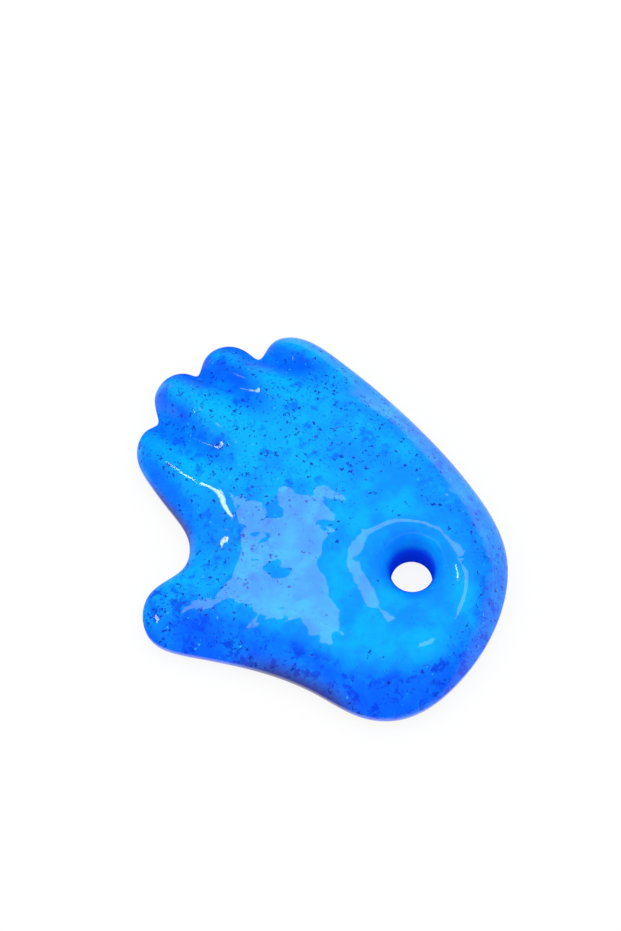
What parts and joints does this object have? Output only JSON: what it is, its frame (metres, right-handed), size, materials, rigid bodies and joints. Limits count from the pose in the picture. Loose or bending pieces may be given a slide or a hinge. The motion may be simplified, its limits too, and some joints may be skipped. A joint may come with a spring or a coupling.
{
  "type": "hamsa hand pendant",
  "caption": "Flat hand-shaped ceramic pendant with rounded fingers, a thumb and a lipped cord hole at the wrist, under a bright blue glossy glaze, worn or hung as a charm.",
  "frame": {"origin": "on the axis of the cord hole, in the plane of the flat back", "axes": "+Z out of the front along the cord hole, +Y towards the fingertips, +X towards the little finger, thumb on the -X side"},
  "size_m": [0.0433, 0.0539, 0.0077],
  "materials": {
    "fired_clay": "bare matt fired clay",
    "blue_glaze": "glossy azure alkaline glaze with dark specks"
  },
  "bodies": {
    "root": {"clay_body": "fired_clay", "glaze_coat": "blue_glaze"}
  },
  "joints": []
}
